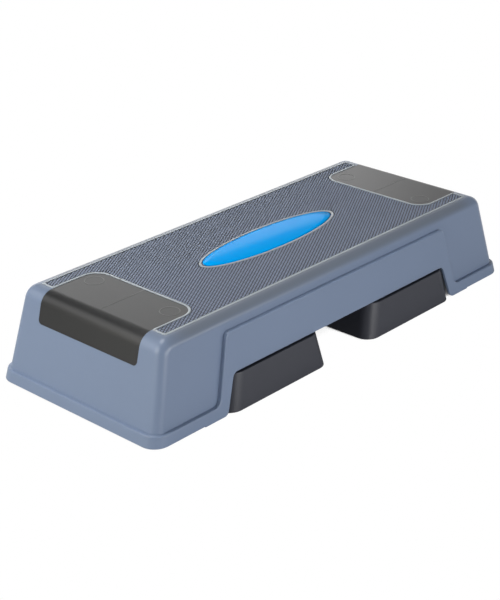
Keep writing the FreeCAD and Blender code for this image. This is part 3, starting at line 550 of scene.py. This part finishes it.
def floor_material():
    """White floor with a shade close under the object.

    The eye looks through its white, so that a leg that is let down below it still shows.
    """
    made, tree = new_material("studio_floor")
    rays = add(tree, "ShaderNodeLightPath")
    spot = add(tree, "ShaderNodeTexCoord").outputs["Object"]

    # Zone under the body beside the legs.
    outward = add(tree, "ShaderNodeVectorMath", {0: spot}, operation="ABSOLUTE")
    split = add(tree, "ShaderNodeSeparateXYZ", {"Vector": outward.outputs[0]})
    beside = add(tree, "ShaderNodeMath", {0: split.outputs["X"], 1: BESIDE_LEG_X}, operation="SUBTRACT")
    apart = add(tree, "ShaderNodeMath", {0: beside.outputs[0]}, operation="ABSOLUTE")
    in_gap = add(tree, "ShaderNodeMapRange", {
        "Value": apart.outputs[0], "From Min": BESIDE_LEG_FADE[0], "From Max": BESIDE_LEG_FADE[1],
        "To Min": 1.0, "To Max": 0.0})
    in_rim = add(tree, "ShaderNodeMapRange", {
        "Value": split.outputs["Y"], "From Min": BESIDE_LEG_FADE_Y[0], "From Max": BESIDE_LEG_FADE_Y[1],
        "To Min": 1.0, "To Max": 0.0})
    covered = add(tree, "ShaderNodeMath", {0: in_gap.outputs[0], 1: in_rim.outputs[0]},
                  operation="MULTIPLY")

    # Shade by the share of open sky above a spot.
    limit = add(tree, "ShaderNodeMapRange", {
        "Value": covered.outputs[0], "To Min": SHADE_WHITE, "To Max": BESIDE_LEG_WHITE})
    open_sky = add(tree, "ShaderNodeAmbientOcclusion", {"Distance": SHADE_REACH})
    bright = add(tree, "ShaderNodeMapRange", {
        "Value": open_sky.outputs["AO"], "From Min": SHADE_BLACK, "From Max": limit.outputs[0]},
        interpolation_type="SMOOTHSTEP")

    # What light and reflections meet.
    away = add(tree, "ShaderNodeVectorMath", {0: spot, 1: BACKDROP_TOWARDS}, operation="DOT_PRODUCT")
    share = add(tree, "ShaderNodeMapRange", {
        "Value": away.outputs["Value"], "From Min": MIRROR_FADE[0], "From Max": MIRROR_FADE[1],
        "To Min": MIRROR_FRONT, "To Max": 1.0}, interpolation_type="SMOOTHSTEP")
    mirrored = add(tree, "ShaderNodeMath", {0: rays.outputs["Is Glossy Ray"], 1: share.outputs[0]},
                   operation="MULTIPLY")
    paint = add(tree, "ShaderNodeBsdfDiffuse", {"Color": linear(FLOOR_GREY)})
    glow = add(tree, "ShaderNodeEmission", {"Color": (1, 1, 1, 1), "Strength": bright.outputs[0]})
    solid = add(tree, "ShaderNodeMixShader", {
        0: mirrored.outputs[0], 1: paint.outputs[0], 2: glow.outputs[0]})

    # The eye looks through the white, and lamps shine through all of it.
    direct = add(tree, "ShaderNodeMath", {
        0: rays.outputs["Is Camera Ray"], 1: rays.outputs["Is Transmission Ray"]}, operation="MAXIMUM")
    looked = add(tree, "ShaderNodeMath", {0: direct.outputs[0], 1: bright.outputs[0]}, operation="MULTIPLY")
    through = add(tree, "ShaderNodeMath", {0: looked.outputs[0], 1: rays.outputs["Is Shadow Ray"]},
                  operation="MAXIMUM")
    clear = add(tree, "ShaderNodeBsdfTransparent")
    mixed = add(tree, "ShaderNodeMixShader", {
        0: through.outputs[0], 1: solid.outputs[0], 2: clear.outputs[0]})
    add(tree, "ShaderNodeOutputMaterial", {"Surface": mixed.outputs[0]})
    return made


def lay_floor():
    """Round floor under the object."""
    bm = bmesh.new()
    bmesh.ops.create_circle(bm, cap_ends=True, segments=64, radius=FLOOR_RADIUS)
    mesh = bpy.data.meshes.new("floor")
    bm.to_mesh(mesh)
    bm.free()
    mesh.materials.append(floor_material())
    floor = bpy.data.objects.new("floor", mesh)
    bpy.context.scene.collection.objects.link(floor)


def hang_lamps():
    """Soft boxes round the object."""
    for name, place, (width, depth), watts, colour in LAMPS:
        lamp = bpy.data.lights.new(name, "AREA")
        lamp.shape = "RECTANGLE"
        lamp.size = width
        lamp.size_y = depth
        lamp.energy = watts
        lamp.color = colour
        holder = bpy.data.objects.new(name, lamp)
        holder.location = place
        holder.rotation_euler = (Vector(LAMP_TARGET) - Vector(place)).to_track_quat("-Z", "Y").to_euler()
        bpy.context.scene.collection.objects.link(holder)


def set_camera():
    """Camera at the photograph's viewing angle."""
    azimuth = math.radians(CAMERA_AZIMUTH)
    elevation = math.radians(CAMERA_ELEVATION)
    right = Vector((math.cos(azimuth), math.sin(azimuth), 0))
    back = Vector((math.sin(azimuth) * math.cos(elevation), -math.cos(azimuth) * math.cos(elevation),
                   math.sin(elevation)))
    roll = Matrix.Rotation(math.radians(CAMERA_ROLL), 3, "Z")
    turn = Matrix((right, back.cross(right), back)).transposed() @ roll
    lens = bpy.data.cameras.new("camera")
    lens.lens = CAMERA_LENS
    lens.sensor_width = CAMERA_SENSOR
    camera = bpy.data.objects.new("camera", lens)
    camera.matrix_world = Matrix.Translation(CAMERA_PLACE) @ turn.to_4x4()
    bpy.context.scene.collection.objects.link(camera)
    bpy.context.scene.camera = camera


dress_nodes()
deck_details()
pad_marks()

bpy.context.scene.view_settings.view_transform = "Standard"
bpy.context.scene.world = studio_world()
lay_floor()
hang_lamps()
set_camera()
